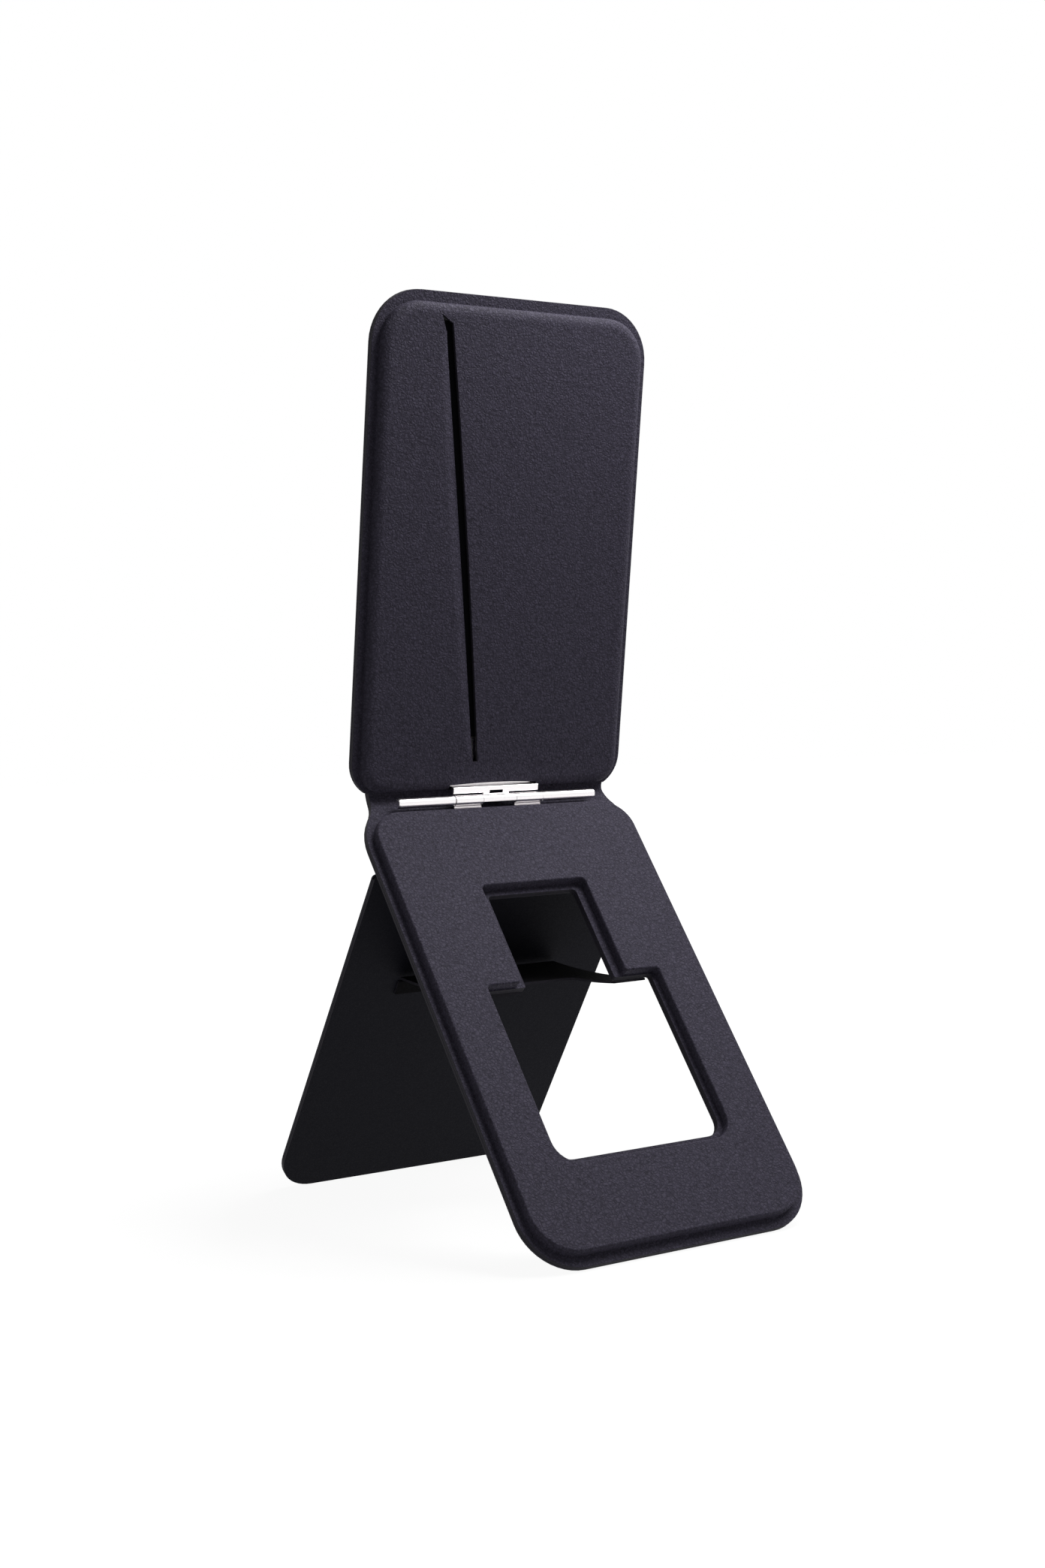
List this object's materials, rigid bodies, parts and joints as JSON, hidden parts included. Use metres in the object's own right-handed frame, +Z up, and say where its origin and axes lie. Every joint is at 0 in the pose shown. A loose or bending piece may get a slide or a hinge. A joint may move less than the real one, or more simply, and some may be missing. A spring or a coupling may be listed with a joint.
{
  "type": "folding magnetic phone stand",
  "caption": "Leather-skinned folding phone stand: a magnetic card wallet on a friction hinge over a windowed stand frame, with a creased rear leg and a brace web.",
  "frame": {"origin": "on the floor, on the mid-plane of the panels, half way between the front and rear feet", "axes": "+X across the panels, +Y from the front foot to the rear foot (the way the phone's screen faces), +Z up"},
  "size_m": [0.064, 0.101, 0.1793],
  "materials": {
    "leather": "fine pebble grain, matt",
    "smooth_leather": "smooth, satin",
    "hinge_steel": "satin",
    "board": "plain",
    "padding": "closed foam",
    "liner_cloth": "fine weave",
    "magnet": "nickel plated",
    "shield_steel": "plain"
  },
  "bodies": {
    "stand_frame": {"frame_back_skin": "leather", "frame_board": "board", "frame_pad_core": "padding", "frame_front_skin": "leather", "leg_catch_magnets": "magnet", "lower_hinge_leaf": "hinge_steel", "lower_leaf_rivets": "hinge_steel", "hinge_pin": "hinge_steel", "hinge_bar_left": "hinge_steel", "hinge_bar_right": "hinge_steel", "leg_hinge_tab": "smooth_leather", "leg_crease_skin": "smooth_leather", "neck_skin": "leather", "brace_web": "smooth_leather"},
    "wallet": {"phone_side_skin": "leather", "magnet_carrier": "board", "ring_magnets": "magnet", "alignment_magnet": "magnet", "shield_ring": "shield_steel", "pocket_liner": "liner_cloth", "pocket_spacer": "padding", "pocket_front_skin": "leather", "upper_hinge_leaf": "hinge_steel", "upper_leaf_rivets": "hinge_steel"},
    "support_leg": {"leg_outer_skin": "smooth_leather", "leg_board": "board", "leg_rim": "smooth_leather", "leg_inner_skin": "smooth_leather", "leg_catch_plates": "shield_steel", "web_glue_tab": "smooth_leather"}
  },
  "joints": [
    {"name": "wallet_tilt", "type": "hinge", "parent": "stand_frame", "child": "wallet", "pos_m": [0, 0.00647, 0.08134], "axis": [1, 0, 0], "range_deg": [-46.3, 133.7], "deforming": ["neck_skin"]},
    {"name": "leg_fold", "type": "hinge", "parent": "stand_frame", "child": "support_leg", "pos_m": [0, 0.00117, 0.06829], "axis": [1, 0, 0], "range_deg": [-70, 0], "deforming": ["leg_crease_skin", "brace_web"]}
  ]
}
